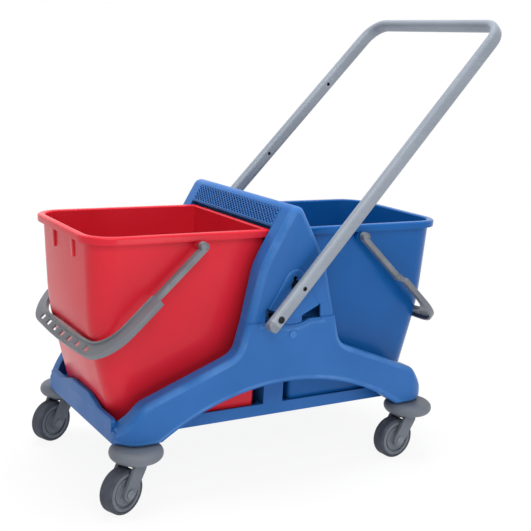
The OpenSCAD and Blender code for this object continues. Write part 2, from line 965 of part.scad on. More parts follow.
// Outer end of the wall at height z, with the belly's corner eased into a curve
function bucket_end(z) =
    let (d = (z - belly_z) / belly_blend)
    d < -1 ? belly_x - foot_lean * (belly_z - z) :
    d > 1 ? belly_x + belly_lean * (z - belly_z) :
    let (lean = mix(foot_lean, belly_lean, 0.5), spread = belly_lean - foot_lean)
    belly_x + belly_blend * (lean * d + spread * (d * d + 1) / 4);

// The wall's ring at height z, moved inwards by d
function bucket_ring(z, d) =
    let (
        t = (z - bucket_z) / bucket_h,
        x0 = mix(wall_in_x + inner_draft, wall_in_x, t) + d,
        x1 = bucket_end(z) - d,
        y = mix(wall_y - side_draft, wall_y, t) - d
    )
    [
        for (q = [0:3], k = [0:ring_steps])
            let (
                outer = q == 0 || q == 3,
                r = max(1, (outer ? bucket_corner_r : bucket_inner_r) - d),
                a = 90 * (q + k / ring_steps)
            )
            [
                (outer ? x1 - r : x0 + r) + r * cos(a),
                (q < 2 ? y - r : r - y) + r * sin(a),
                z,
            ]
    ];

belly_rings = [for (k = [-2:2]) belly_z + k * belly_blend / 2];
rim_low_z = rim_z - rim_h;
rim_web_z = rim_z - rim_skirt_t - 1;
skirt_in = rim_lip - rim_skirt_t;

// Rings up the outside of the wall, round the rim and down the inside
bucket_rings = concat(
    [for (a = [0, 30, 60, 90]) bucket_ring(bucket_z + foot_r * (1 - cos(a)), foot_r * (1 - sin(a)))],
    [for (z = belly_rings) bucket_ring(z, 0)],
    [
        bucket_ring(rim_web_z, 0),
        bucket_ring(rim_web_z, -skirt_in),
        bucket_ring(rim_low_z, -skirt_in),
        bucket_ring(rim_low_z, -rim_lip),
        bucket_ring(rim_z - 3, -rim_lip),
        bucket_ring(rim_z - 1, 1 - rim_lip),
        bucket_ring(rim_z, 3 - rim_lip),
        bucket_ring(rim_z, bucket_wall - 2),
        bucket_ring(rim_z - 2, bucket_wall),
    ],
    [for (k = [len(belly_rings) - 1:-1:0]) bucket_ring(belly_rings[k], bucket_wall)],
    [
        for (a = [90, 60, 30, 0])
            bucket_ring(
                bucket_z + bucket_wall + foot_r * (1 - cos(a)),
                bucket_wall + foot_r * (1 - sin(a))
            )
    ]
);

module bucket(s, colour) {
    color(colour)
        in_frame()
            to_end(s)
                difference() {
                    union() {
                        loft(bucket_rings);
                        both_sides()
                            bar_y(bail_pivot_x, bail_pivot_z, ear_r, wall_y - bucket_wall / 2, rim_y - 0.5);
                    }
                    both_sides()
                        translate([bail_pivot_x, 0, bail_pivot_z])
                            bar_y(0, 0, bail_pin_r + run_gap, rim_y - bail_pin_l, rim_y + past);
                }
}

// Bails

// Radius of the grip's bow between two corners of radius r, whose arms lie at -y and y
function grip_bow_r(y, r) =
    let (lean = atan(grip_bow / y))
    (y / cos(lean) - r * tan(45 - lean / 2) - past) / tan(lean);

// The U of a bail in its own plane, as an outline from the pivots round the grip
function bail_path(start, y, reach, r) =
    let (
        lean = atan(grip_bow / y),
        bow_r = grip_bow_r(y, r),
        middle = reach + bow_r * (1 / cos(lean) - 1)
    )
    [
        [start, -y, 0],
        [middle - grip_bow, -y, r],
        [middle, 0, bow_r],
        [middle - grip_bow, y, r],
        [start, y, 0],
    ];

// The U inside the grip's inner edge, made larger by d
module grip_inside(start, d) {
    polygon(rounded(bail_path(start, grip_in_y + d, grip_in + d, grip_corner_r + d)));
}

// The U inside the grip's outer edge, made smaller by d
module grip_outside(start, d) {
    polygon(rounded(bail_path(start, grip_out_y - d, grip_in + grip_w - d, grip_outer_r - d)));
}

module layer(low, high) {
    translate([0, 0, low])
        linear_extrude(high - low)
            children();
}

module grip() {
    layer(bail_top - grip_wall, bail_top)
        difference() {
            grip_outside(bail_step, 0);
            grip_inside(bail_step - past, 0);
        }
    layer(-bail_low, bail_top)
        difference() {
            grip_outside(bail_step, 0);
            grip_outside(bail_step + grip_wall, grip_wall);
            grip_inside(bail_step - past, 0);
        }
    layer(bail_top - grip_wall - 1, bail_top + grip_bead_h)
        difference() {
            grip_inside(bail_step, grip_bead_w);
            grip_inside(bail_step - past, 0);
        }
}

module bail_shape() {
    difference() {
        union() {
            layer(-bail_low, bail_top)
                both_sides()
                    translate([0, bail_in_y])
                        square([bail_step + grip_wall, bail_arm_w]);
            grip();
            both_sides() {
                bar_y(0, 0, bail_knob_r, bail_in_y, bail_in_y + bail_arm_w);
                bar_y(0, 0, bail_pin_r, rim_y - bail_pin_l + seat_gap, bail_in_y + past);
            }
        }
        for (i = [0:grip_holes - 1])
            let (
                y = (i - (grip_holes - 1) / 2) * grip_hole_pitch,
                sag = y * y / (2 * grip_bow_r(grip_out_y, grip_outer_r))
            )
            translate([grip_in + (grip_w + grip_bead_w - grip_wall) / 2 - sag, y, 0])
                cube([grip_hole_w, grip_hole_l, 4 * bail_low], center = true);
    }
}

module bail(s) {
    color(grey_moulding)
        in_frame()
            to_end(s)
                translate([bail_pivot_x, 0, bail_pivot_z])
                    rotate([0, bail_rest, 0])
                        bail_shape();
}

// Castors

module at_castor(c) {
    translate([c[1] * castor_x, c[2] * castor_y, 0])
        rotate([0, 0, c[3]])
            children();
}

module castor_stem(c) {
    color(steel)
        in_frame()
            at_castor(c)
                translate([0, 0, neck_z + 2])
                    cylinder(r = stem_r, h = base_z + stem_in - neck_z - 2);
}

module buffer(c) {
    edge = buffer_h / 2;
    color(grey_moulding)
        in_frame()
            at_castor(c)
                translate([0, 0, buffer_z])
                    rotate_extrude() {
                        translate([stem_r + run_gap, 0])
                            square([buffer_d / 2 - edge - stem_r - run_gap, buffer_h]);
                        translate([buffer_d / 2 - edge, edge])
                            circle(edge);
                    }
}

module fork_solid() {
    rotate_extrude()
        polygon([
            [0, neck_z],
            [neck_r, neck_z],
            [neck_r, buffer_z - crown_r + neck_r],
            [crown_r, buffer_z],
            [0, buffer_z],
        ]);
    intersection() {
        both_sides()
            along_y(fork_in_y, fork_out_y)
                tapered_link(
                    [-fork_top_back, buffer_z - fork_top_r / 2], fork_top_r,
                    [-castor_trail, axle_z], fork_eye_r
                );
        block([-wheel_d, -wheel_d, 0], [wheel_d, wheel_d, buffer_z]);
    }
}

module fork(c) {
    color(grey_moulding)
        in_frame()
            at_castor(c)
                difference() {
                    fork_solid();
                    bar_y(-castor_trail, axle_z, wheel_gap_r, -fork_in_y, fork_in_y);
                    bar_y(-castor_trail, axle_z, axle_r + fix_gap, -fork_out_y - past, fork_out_y + past);
                    translate([0, 0, axle_z])
                        cylinder(r = stem_r + run_gap, h = buffer_z - axle_z + past);
                }
}

module axle(c) {
    color(steel)
        in_frame()
            at_castor(c) {
                bar_y(-castor_trail, axle_z, axle_r, -fork_out_y - past, fork_out_y + past);
                both_sides()
                    bar_y(-castor_trail, axle_z, axle_head_r, fork_out_y, fork_out_y + axle_head_h);
            }
}

module at_axle(c) {
    at_castor(c)
        translate([-castor_trail, 0, axle_z])
            rotate([90, 0, 0])
                children();
}

module wheel_core(c) {
    hub_w = 2 * fork_in_y - 1;
    hub_r = axle_r + 7;
    groove_r = core_r - 6;
    color(grey_moulding)
        in_frame()
            at_axle(c)
                difference() {
                    union() {
                        cylinder(r = hub_r, h = hub_w, center = true);
                        cylinder(r = groove_r, h = wheel_w - 4, center = true);
                        cylinder(r = core_r, h = wheel_w - 8, center = true);
                        difference() {
                            cylinder(r = core_r, h = wheel_w - 3, center = true);
                            cylinder(r = core_r - 3, h = wheel_w, center = true);
                        }
                    }
                    cylinder(r = axle_r + run_gap, h = wheel_w * 2, center = true);
                }
}

module tyre(c) {
    low = core_r + fix_gap;
    shoulder_r = min(tyre_shoulder_r, (wheel_d / 2 - low) / 2);
    color(grey_tyre)
        in_frame()
            at_axle(c)
                rotate_extrude() {
                    translate([low, -wheel_w / 2])
                        square([wheel_d / 2 - shoulder_r - low, wheel_w]);
                    translate([low, -wheel_w / 2 + shoulder_r])
                        square([wheel_d / 2 - low, wheel_w - 2 * shoulder_r]);
                    for (y = [-1, 1])
                        translate([wheel_d / 2 - shoulder_r, y * (wheel_w / 2 - shoulder_r)])
                            circle(shoulder_r);
                }
}

chassis_base();
tower();
tie_screws();
push_handle();
for (s = sides) {
    pivot_bolt(s[1]);
    pivot_nut(s[1]);
    pivot_spacer(s[1]);
    lock_pin(s[1]);
    leg_cap(s[1]);
}
for (b = buckets) {
    bucket(b[1], b[2]);
    bail(b[1]);
    roof_grate(b[1]);
}
for (c = castors) {
    castor_stem(c);
    buffer(c);
    fork(c);
    axle(c);
    wheel_core(c);
    tyre(c);
}
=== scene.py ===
import json
import math
import bmesh
import bpy
from mathutils import Matrix, Vector

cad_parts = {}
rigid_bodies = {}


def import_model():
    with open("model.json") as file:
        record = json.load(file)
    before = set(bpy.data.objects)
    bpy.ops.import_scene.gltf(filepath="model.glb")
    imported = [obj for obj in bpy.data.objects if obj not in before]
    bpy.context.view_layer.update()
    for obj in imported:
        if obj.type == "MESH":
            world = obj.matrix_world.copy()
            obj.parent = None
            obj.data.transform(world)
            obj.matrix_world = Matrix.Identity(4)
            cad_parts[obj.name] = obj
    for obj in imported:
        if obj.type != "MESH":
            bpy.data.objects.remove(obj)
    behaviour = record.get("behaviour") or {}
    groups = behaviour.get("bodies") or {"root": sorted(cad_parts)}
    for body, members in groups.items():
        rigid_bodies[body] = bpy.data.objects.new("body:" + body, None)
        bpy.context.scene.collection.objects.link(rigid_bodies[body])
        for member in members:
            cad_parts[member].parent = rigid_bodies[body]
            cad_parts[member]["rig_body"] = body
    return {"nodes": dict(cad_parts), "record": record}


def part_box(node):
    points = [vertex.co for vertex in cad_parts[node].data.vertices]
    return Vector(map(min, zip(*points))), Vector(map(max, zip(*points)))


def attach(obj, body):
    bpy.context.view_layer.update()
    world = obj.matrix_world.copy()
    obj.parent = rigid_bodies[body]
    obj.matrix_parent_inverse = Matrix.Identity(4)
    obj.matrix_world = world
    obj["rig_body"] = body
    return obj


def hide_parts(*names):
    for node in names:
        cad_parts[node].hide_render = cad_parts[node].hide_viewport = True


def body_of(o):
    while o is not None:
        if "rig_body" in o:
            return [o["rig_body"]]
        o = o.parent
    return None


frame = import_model()
for name in ("Cube", "Light", "Camera"):
    if name in bpy.data.objects:
        bpy.data.objects.remove(bpy.data.objects[name])
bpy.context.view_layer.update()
print("frame loaded:", len(frame["nodes"]), "nodes")


def srgb(red, green, blue):
    levels = [c / 255 for c in (red, green, blue)]
    return tuple(c / 12.92 if c < 0.04045 else ((c + 0.055) / 1.055) ** 2.4 for c in levels) + (1.0,)


# materials

def newMaterial(name):
    material = bpy.data.materials.new(name)
    material.use_nodes = True
    tree = material.node_tree
    shader = tree.nodes["Principled BSDF"]
    coords = tree.nodes.new("ShaderNodeTexCoord")
    return material, tree, shader, coords.outputs["Object"]


def addNoise(tree, where, scale, detail=3.0, stretch=None, turn=(0, 0, 0)):
    if stretch:
        mapping = tree.nodes.new("ShaderNodeMapping")
        mapping.inputs["Scale"].default_value = stretch
        mapping.inputs["Rotation"].default_value = turn
        tree.links.new(where, mapping.inputs["Vector"])
        where = mapping.outputs["Vector"]
    noise = tree.nodes.new("ShaderNodeTexNoise")
    noise.inputs["Scale"].default_value = scale
    noise.inputs["Detail"].default_value = detail
    tree.links.new(where, noise.inputs["Vector"])
    return noise.outputs["Fac"]


def addRamp(tree, fac, stops):
    ramp = tree.nodes.new("ShaderNodeValToRGB")
    edges = ramp.color_ramp.elements
    while len(edges) < len(stops):
        edges.new(0.5)
    for edge, (place, colour) in zip(edges, stops):
        edge.position = place
        edge.color = colour
    tree.links.new(fac, ramp.inputs["Fac"])
    return ramp.outputs["Color"]


def addRange(tree, fac, low, high, start=0.3, end=0.7):
    remap = tree.nodes.new("ShaderNodeMapRange")
    for socket, value in (("From Min", start), ("From Max", end), ("To Min", low), ("To Max", high)):
        remap.inputs[socket].default_value = value
    tree.links.new(fac, remap.inputs["Value"])
    return remap.outputs["Result"]


def addBump(tree, height, strength, distance, under=None):
    bump = tree.nodes.new("ShaderNodeBump")
    bump.inputs["Strength"].default_value = strength
    bump.inputs["Distance"].default_value = distance
    tree.links.new(height, bump.inputs["Height"])
    if under:
        tree.links.new(under, bump.inputs["Normal"])
    return bump.outputs["Normal"]


def addMix(tree, fac, first, second):
    mix = tree.nodes.new("ShaderNodeMix")
    mix.data_type = "RGBA"
    tree.links.new(fac, mix.inputs["Factor"])
    tree.links.new(first, mix.inputs["A"])
    tree.links.new(second, mix.inputs["B"])
    return mix.outputs["Result"]


plastic = {"ior": 1.49, "patchScale": 24, "flowDepth": 0.002, "grainDepth": 0.0004}


def plasticMaterial(name, look):
    material, tree, shader, where = newMaterial(name)
    broad = addNoise(tree, where, look["toneScale"])
    tone = addRamp(tree, broad, [(0.3, look["dark"]), (0.7, look["light"])])
    # rubbed edges go a little paler: partly real wear, partly a painted highlight along the rounded edges
    wearAndSheenMask = tree.nodes.new("ShaderNodeAttribute")
    wearAndSheenMask.attribute_name = "wear"
    edge = addRange(tree, wearAndSheenMask.outputs["Fac"], 0.0, look["wear"], 0.0, 1.0)
    patches = addNoise(tree, where, plastic["patchScale"], 5)
    rubbedAndSheenTone = addRamp(tree, patches, [(0.3, look["light"]), (0.75, look["rub"])])
    tree.links.new(addMix(tree, edge, tone, rubbedAndSheenTone), shader.inputs["Base Color"])
    smear = addNoise(tree, where, look["smearScale"], 4, look["smearStretch"])
    tree.links.new(addRange(tree, smear, *look["gloss"]), shader.inputs["Roughness"])
    waves = addNoise(tree, where, look["flowScale"], 2, look["smearStretch"])
    flow = addBump(tree, waves, look["flow"], plastic["flowDepth"])
    grain = addNoise(tree, where, look["grainScale"], 2)
    tree.links.new(addBump(tree, grain, look["grain"], plastic["grainDepth"], flow), shader.inputs["Normal"])
    shader.inputs["IOR"].default_value = plastic["ior"]
    shader.inputs["Specular IOR Level"].default_value = look["shine"]
    return material


def coatedTube(name, look):
    material, tree, shader, where = newMaterial(name)
    drawn = addNoise(tree, where, look["lineScale"], 3, look["lineStretch"], look["lineTurn"])
    broad = addNoise(tree, where, look["toneScale"])
    tone = addRamp(tree, broad, [(0.3, look["dark"]), (0.7, look["light"])])
    streak = addRamp(tree, drawn, [(0.3, look["dark"]), (0.7, look["light"])])
    mixed = tree.nodes.new("ShaderNodeMix")
    mixed.data_type = "RGBA"
    mixed.inputs["Factor"].default_value = look["streaks"]
    tree.links.new(tone, mixed.inputs["A"])
    tree.links.new(streak, mixed.inputs["B"])
    tree.links.new(mixed.outputs["Result"], shader.inputs["Base Color"])
    tree.links.new(addRange(tree, drawn, *look["gloss"]), shader.inputs["Roughness"])
    grain = addNoise(tree, where, look["grainScale"], 2)
    tree.links.new(addBump(tree, grain, look["grain"], look["grainDepth"]), shader.inputs["Normal"])
    shader.inputs["Metallic"].default_value = look["metal"]
    return material


def zincMaterial(name, look):
    material, tree, shader, where = newMaterial(name)
    spangle = tree.nodes.new("ShaderNodeTexVoronoi")
    spangle.inputs["Scale"].default_value = look["spangle"]
    tree.links.new(where, spangle.inputs["Vector"])
    tone = addRamp(tree, spangle.outputs["Distance"], [(0.0, look["light"]), (0.8, look["dark"])])
    tree.links.new(tone, shader.inputs["Base Color"])
    smear = addNoise(tree, where, look["smearScale"])
    tree.links.new(addRange(tree, smear, *look["gloss"]), shader.inputs["Roughness"])
    shader.inputs["Metallic"].default_value = 1.0
    return material


def rubberMaterial(name, look):
    material, tree, shader, where = newMaterial(name)
    dust = addNoise(tree, where, look["dustScale"], 5)
    tone = addRamp(tree, dust, [(0.35, look["dark"]), (0.6, look["light"]), (0.8, look["dust"])])
    tree.links.new(tone, shader.inputs["Base Color"])
    tree.links.new(addRange(tree, dust, *look["gloss"]), shader.inputs["Roughness"])
    grain = addNoise(tree, where, look["grainScale"], 3)
    tree.links.new(addBump(tree, grain, look["grain"], look["grainDepth"]), shader.inputs["Normal"])
    shader.inputs["Specular IOR Level"].default_value = look["shine"]
    return material


looks = {
    # the paler edge colour in each look is partly wear and partly a painted highlight along rounded edges
    "blue_moulding": plasticMaterial("blueMoulding", {
        "dark": srgb(32, 92, 160), "light": srgb(42, 102, 171), "rub": srgb(92, 144, 206), "wear": 0.5,
        "toneScale": 7, "smearScale": 18, "smearStretch": (1, 1, 0.5), "gloss": (0.3, 0.42), "shine": 0.22,
        "flowScale": 5, "flow": 0.05, "grainScale": 1400, "grain": 0.14}),
    "blue_bucket": plasticMaterial("blueBucket", {
        "dark": srgb(14, 84, 152), "light": srgb(22, 93, 164), "rub": srgb(80, 140, 204), "wear": 0.35,
        "toneScale": 5, "smearScale": 14, "smearStretch": (1, 1, 0.18), "gloss": (0.16, 0.26), "shine": 0.2,
        "flowScale": 9, "flow": 0.06, "grainScale": 1600, "grain": 0.04}),
    "red_bucket": plasticMaterial("redBucket", {
        "dark": srgb(203, 32, 47), "light": srgb(215, 40, 56), "rub": srgb(236, 100, 104), "wear": 0.35,
        "toneScale": 5, "smearScale": 14, "smearStretch": (1, 1, 0.18), "gloss": (0.16, 0.26), "shine": 0.2,
        "flowScale": 9, "flow": 0.06, "grainScale": 1600, "grain": 0.04}),
    "bail_plastic": plasticMaterial("bailPlastic", {
        "dark": srgb(102, 106, 113), "light": srgb(114, 118, 125), "rub": srgb(150, 154, 160), "wear": 0.5,
        "toneScale": 12, "smearScale": 30, "smearStretch": (1, 1, 1), "gloss": (0.34, 0.48), "shine": 0.4,
        "flowScale": 10, "flow": 0.05, "grainScale": 1500, "grain": 0.15}),
    "grey_cap": plasticMaterial("greyCap", {
        "dark": srgb(116, 124, 135), "light": srgb(128, 136, 147), "rub": srgb(146, 153, 162), "wear": 0.4,
        "toneScale": 20, "smearScale": 40, "smearStretch": (1, 1, 1), "gloss": (0.38, 0.5), "shine": 0.4,
        "flowScale": 12, "flow": 0.05, "grainScale": 1600, "grain": 0.12}),
    "castor_plastic": plasticMaterial("castorPlastic", {
        "dark": srgb(98, 104, 113), "light": srgb(110, 116, 125), "rub": srgb(144, 149, 157), "wear": 0.5,
        "toneScale": 14, "smearScale": 30, "smearStretch": (1, 1, 1), "gloss": (0.4, 0.55), "shine": 0.35,
        "flowScale": 12, "flow": 0.05, "grainScale": 1500, "grain": 0.16}),
    "handle_tube": coatedTube("handleTube", {
        "dark": srgb(130, 138, 149), "light": srgb(147, 155, 166), "metal": 0.2,
        "toneScale": 9, "lineScale": 260, "lineStretch": (0.03, 1, 1), "lineTurn": (0, math.radians(47.5), 0),
        "streaks": 0.35, "gloss": (0.34, 0.46), "grainScale": 1800, "grain": 0.06, "grainDepth": 0.0003}),
    "tyre_rubber": rubberMaterial("tyreRubber", {
        "dark": srgb(58, 62, 72), "light": srgb(70, 75, 86), "dust": srgb(92, 95, 102),
        "dustScale": 60, "gloss": (0.6, 0.78), "shine": 0.35,
        "grainScale": 900, "grain": 0.3, "grainDepth": 0.0005}),
    "zinc_steel": zincMaterial("zincSteel", {
        "dark": srgb(150, 152, 156), "light": srgb(205, 207, 210), "spangle": 420, "smearScale": 220,
        "gloss": (0.28, 0.42)}),
    "black_steel": zincMaterial("blackSteel", {
        "dark": srgb(34, 35, 38), "light": srgb(56, 58, 62), "spangle": 600, "smearScale": 220,
        "gloss": (0.4, 0.55)}),
}
print("materials ready:", len(looks))


# copies of CAD nodes that get their moulded edges here

mergeGap = 0.00001


def pick(piece):
    bpy.ops.object.select_all(action="DESELECT")
    piece.select_set(True)
    bpy.context.view_layer.objects.active = piece


def startEdit(piece):
    pick(piece)
    bpy.ops.object.mode_set(mode="EDIT")
    bpy.ops.mesh.select_all(action="DESELECT")


def endEdit():
    bpy.ops.object.mode_set(mode="OBJECT")


def copyNode(nodeName, pieceName, flat=1.0, keep=None):
    piece = bpy.data.objects.new(pieceName, frame["nodes"][nodeName].data.copy())
    bpy.context.scene.collection.objects.link(piece)
    piece.data.materials.clear()
    startEdit(piece)
    bpy.ops.mesh.customdata_custom_splitnormals_clear()
    bpy.ops.mesh.select_all(action="SELECT")
    bpy.ops.mesh.remove_doubles(threshold=mergeGap)
    if keep:
        bpy.ops.mesh.select_mode(type="FACE")
        mesh = bmesh.from_edit_mesh(piece.data)
        for face in mesh.faces:
            if keep(face):
                face.select_set(False)
        bmesh.update_edit_mesh(piece.data)
    bpy.ops.mesh.dissolve_limited(angle_limit=math.radians(flat))
    bpy.ops.mesh.select_all(action="DESELECT")
    endEdit()
    return piece


def selectEdges(piece, wanted, sharp=30):
    mesh = bmesh.from_edit_mesh(piece.data)
    bpy.ops.mesh.select_mode(type="EDGE")
    count = 0
    for edge in mesh.edges:
        if edge.is_manifold and edge.calc_face_angle() > math.radians(sharp) and wanted(edge):
            edge.select_set(True)
            count += 1
    bmesh.update_edit_mesh(piece.data)
    return count


def selectFaces(piece, wanted):
    bpy.ops.mesh.select_mode(type="FACE")
    mesh = bmesh.from_edit_mesh(piece.data)
    found = [face for face in mesh.faces if wanted(face)]
    for face in found:
        face.select_set(True)
    bmesh.update_edit_mesh(piece.data)
    return len(found)


def markWearAndSheen(piece):
    # points that only touch the bevel's own faces lie on a rounded edge; the mark paints that edge paler,
    # partly as wear and partly as a painted highlight
    mesh = bmesh.from_edit_mesh(piece.data)
    layer = mesh.verts.layers.float.get("wear") or mesh.verts.layers.float.new("wear")
    for vert in mesh.verts:
        if vert.link_faces and all(face.select for face in vert.link_faces):
            vert[layer] = 1.0
    bmesh.update_edit_mesh(piece.data)


def bevelEdges(piece, wanted, radius, segments, sharp=30, clamp=False):
    startEdit(piece)
    count = selectEdges(piece, wanted, sharp)
    if count:
        bpy.ops.mesh.bevel(offset=radius, segments=segments, profile=0.5, affect="EDGES",
                           clamp_overlap=clamp, loop_slide=False)
        markWearAndSheen(piece)
    endEdit()
    return count


def bevelRest(piece, radius, segments, sharp=32):
    return bevelEdges(piece, lambda edge: True, radius, segments, sharp, True)


def finishPiece(piece, nodeName, smooth=35):
    pick(piece)
    bpy.ops.object.shade_smooth_by_angle(angle=math.radians(smooth))
    slot = slotOf[nodeName]
    piece.data.materials.append(looks[slot])
    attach(piece, body_of(frame["nodes"][nodeName])[0])
    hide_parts(nodeName)


# the spacers and axles show no bright metal: the spacers go dark, a painted shade that reads as the shadow at
# the pivot
slotOf = {part["node"]: part["material_slot"] for part in frame["record"]["subparts"]}
for nodeName in slotOf:
    if nodeName.startswith("pivot_spacer"):
        slotOf[nodeName] = "black_steel"
    if nodeName.startswith("axle"):
        slotOf[nodeName] = "castor_plastic"


def nodeMiddle(nodeName):
    low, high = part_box(nodeName)
    return (Vector(low) + Vector(high)) / 2


def copyOf(source, name):
    pick(source)
    bpy.ops.object.duplicate()
    piece = bpy.context.object
    piece.name = name
    return piece


def settle(piece, place, turn=(0, 0, 0)):
    piece.location = place
    piece.rotation_euler = turn
    pick(piece)
    bpy.ops.object.transform_apply(location=True, rotation=True, scale=True)


# base moulding
base = {"halfLength": 0.311, "halfWidth": 0.186, "corner": 0.042, "seam": 0.291, "seamSlack": 0.0002,
        "outerRadius": 0.010, "outerSegments": 6, "screwHeight": 0.266, "screwRoom": 0.014,
        "beamInside": 0.1565, "railRadius": 0.003, "railSegments": 3, "railLow": 0.12, "railRise": 0.8,
        "slack": 0.0006, "facing": 0.99}
middleX = nodeMiddle("tie_screws").x


def fromRim(point):
    # distance of a point from the base's rounded outline, seen from above
    across = abs(point.x - middleX) - base["halfLength"] + base["corner"]
    along = abs(point.y) - base["halfWidth"] + base["corner"]
    return math.hypot(max(across, 0), max(along, 0)) + min(max(across, along), 0) - base["corner"]


def outerBaseEdge(edge):
    middle = (edge.verts[0].co + edge.verts[1].co) / 2
    onSeam = all(abs(v.co.z - base["seam"]) < base["seamSlack"] for v in edge.verts)
    byScrew = math.hypot(middle.x - middleX, middle.z - base["screwHeight"]) < base["screwRoom"]
    onBeam = all(abs(v.co.y) > base["beamInside"] for v in edge.verts)
    onRim = all(abs(fromRim(v.co)) < base["slack"] for v in edge.verts)
    return onBeam and onRim and not onSeam and not byScrew


def railEdge(edge):
    run = (edge.verts[0].co - edge.verts[1].co).normalized()
    onRail = all(abs(v.co.y) < base["beamInside"] and abs(fromRim(v.co)) < base["slack"] for v in edge.verts)
    upright = abs(run.z) > base["railRise"]
    return onRail and not upright and all(v.co.z > base["railLow"] for v in edge.verts)


def trayUnderside(face):
    # one big face around all the ribs' pockets would break up
    return face.normal.z < -base["facing"] and abs(face.calc_center_median().y) < base["beamInside"]


baseMoulding = copyNode("chassis_base", "baseMoulding", 1.0, trayUnderside)
count = bevelEdges(baseMoulding, outerBaseEdge, base["outerRadius"], base["outerSegments"])
print("base outer edges:", count)
print("base rail edges:", bevelEdges(baseMoulding, railEdge, base["railRadius"], base["railSegments"]))
finishPiece(baseMoulding, "chassis_base")

# tower
tower = {"cheek": 0.184, "pad": 0.1865, "seam": 0.291, "slotHalf": 0.06, "slotTop": 0.335,
         "cheekRadius": 0.012, "cheekSegments": 6, "padRadius": 0.0022, "padSegments": 3,
         "footDraft": 0.008, "footInside": (0.148, 0.1515), "bulkHalf": 0.025, "slack": 0.0003}


def towerEdge(edge, level):
    middle = (edge.verts[0].co + edge.verts[1].co) / 2
    onLevel = all(abs(abs(v.co.y) - level) < tower["slack"] for v in edge.verts)
    onSeam = all(abs(v.co.z - tower["seam"]) < tower["slack"] for v in edge.verts)
    return onLevel and not onSeam and edge.is_convex, middle


def cheekEdge(edge):
    found, middle = towerEdge(edge, tower["cheek"])
    return found and (abs(middle.x - middleX) > tower["slotHalf"] or middle.z > tower["slotTop"])


def padEdge(edge):
    found, middle = towerEdge(edge, tower["pad"])
    return found and middle.z > tower["slotTop"]


towerMoulding = copyNode("tower", "towerMoulding")
# the cheeks' inner walls draft outwards to stand on the base
for end in (-1, 1):
    startEdit(towerMoulding)
    bpy.ops.mesh.select_mode(type="VERT")
    mesh = bmesh.from_edit_mesh(towerMoulding.data)
    for vert in mesh.verts:
        atFoot = vert.co.z < tower["seam"] + tower["slack"] and abs(vert.co.x - middleX) > tower["bulkHalf"]
        if atFoot and any(abs(end * vert.co.y - level) < tower["slack"] for level in tower["footInside"]):
            vert.select_set(True)
    bmesh.update_edit_mesh(towerMoulding.data)
    bpy.ops.transform.translate(value=(0, end * tower["footDraft"], 0))
    endEdit()
count = bevelEdges(towerMoulding, cheekEdge, tower["cheekRadius"], tower["cheekSegments"])
print("tower cheek edges:", count)
print("tower pad edges:", bevelEdges(towerMoulding, padEdge, tower["padRadius"], tower["padSegments"]))
finishPiece(towerMoulding, "tower")

# buckets, with lugs under the rim on the end walls, on which stacked buckets rest
bucket = {"flat": 0.2, "smooth": 40}
lug = {"back": 0.3401, "proud": 0.0058, "low": 0.3945, "high": 0.4315, "width": 0.012, "apart": 0.045,
       "lean": 0.0026, "taper": 0.8, "facing": 0.9, "edge": 0.0016, "segments": 3}
bpy.ops.object.select_all(action="DESELECT")
bpy.ops.mesh.primitive_cube_add(size=1)
lugShape = bpy.context.object
lugShape.name = "lugShape"
bpy.ops.object.mode_set(mode="EDIT")
bpy.ops.mesh.select_all(action="SELECT")
bpy.ops.transform.resize(value=(lug["proud"], lug["width"], lug["high"] - lug["low"]))
bpy.ops.mesh.select_all(action="DESELECT")
selectFaces(lugShape, lambda face: face.normal.z < -lug["facing"])
bpy.ops.transform.translate(value=(-lug["lean"] / 2, 0, 0))
bpy.ops.transform.resize(value=(1 - lug["lean"] / lug["proud"], lug["taper"], 1))
endEdit()
bevelRest(lugShape, lug["edge"], lug["segments"])
for colour, end in (("red", -1), ("blue", 1)):
    shell = copyNode(colour + "_bucket", colour + "BucketShell", bucket["flat"])
    for along in (-lug["apart"], lug["apart"]):
        piece = copyOf(lugShape, "lug")
        outward = middleX + end * (lug["back"] + lug["proud"] / 2)
        settle(piece, (outward, along, (lug["low"] + lug["high"]) / 2), (0, 0, 0 if end > 0 else math.pi))
        shell.select_set(True)
        bpy.context.view_layer.objects.active = shell
        bpy.ops.object.join()
    finishPiece(shell, colour + "_bucket", bucket["smooth"])
bpy.data.objects.remove(lugShape)
print("buckets made")

# bails, with a higher bead along the grip and a channel down the outside of each arm
bail = {"lean": math.radians(43), "beadLevel": 0.421, "beadLift": 0.002, "beadSlack": 0.0004,
        "armFace": 0.161, "armSlack": 0.0003, "channelIn": 0.0024, "channelDepth": 0.0026,
        "facing": 0.98, "edge": 0.0008, "segments": 2}


def beadFace(face):
    level = lift.dot(face.calc_center_median() - Vector((middleX, 0, 0)))
    return face.normal.dot(lift) > bail["facing"] and abs(level - bail["beadLevel"]) < bail["beadSlack"]


def armFace(face):
    return all(abs(abs(v.co.y) - bail["armFace"]) < bail["armSlack"] for v in face.verts)


for colour, end in (("red", -1), ("blue", 1)):
    piece = copyNode(colour + "_bail", colour + "BailGrip")
    lift = Vector((end * math.sin(bail["lean"]), 0, math.cos(bail["lean"])))
    startEdit(piece)
    print("bail bead faces:", selectFaces(piece, beadFace))
    bpy.ops.transform.translate(value=lift * bail["beadLift"])
    bpy.ops.mesh.select_all(action="DESELECT")
    print("bail arm faces:", selectFaces(piece, armFace))
    bpy.ops.mesh.inset(thickness=bail["channelIn"], depth=-bail["channelDepth"])
    endEdit()
    bevelRest(piece, bail["edge"], bail["segments"])
    finishPiece(piece, colour + "_bail")

